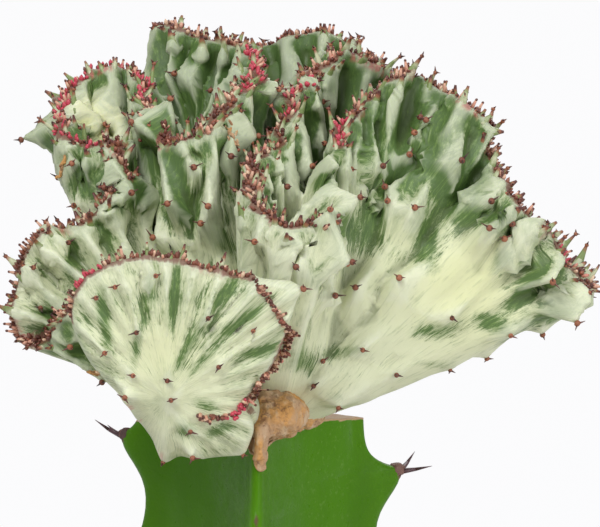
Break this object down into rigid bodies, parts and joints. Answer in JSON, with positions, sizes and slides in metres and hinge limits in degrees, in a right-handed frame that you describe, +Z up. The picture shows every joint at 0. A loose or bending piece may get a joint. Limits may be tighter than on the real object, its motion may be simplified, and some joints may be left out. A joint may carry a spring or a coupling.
{
  "type": "potted coral cactus",
  "caption": "Crested, variegated succulent with a coral-like winding crown, grafted on a three-winged green stem in a plain clay pot.",
  "frame": {"origin": "centre of the pot's foot, on the surface that it stands on", "axes": "+Z up along the pot and stem; -Y faces the viewer of the picture, towards the front fan"},
  "size_m": [0.1315, 0.1132, 0.2437],
  "materials": {
    "clay": "matte unglazed clay",
    "soil": "dry gritty potting mix",
    "green_stem": "waxy green skin",
    "callus": "rough corky healed tissue",
    "crest_flesh": "waxy cream skin with green streaks"
  },
  "bodies": {
    "root": {"pot": "clay", "soil": "soil", "rootstock": "green_stem", "graft_callus": "callus", "crest": "crest_flesh"}
  },
  "joints": []
}
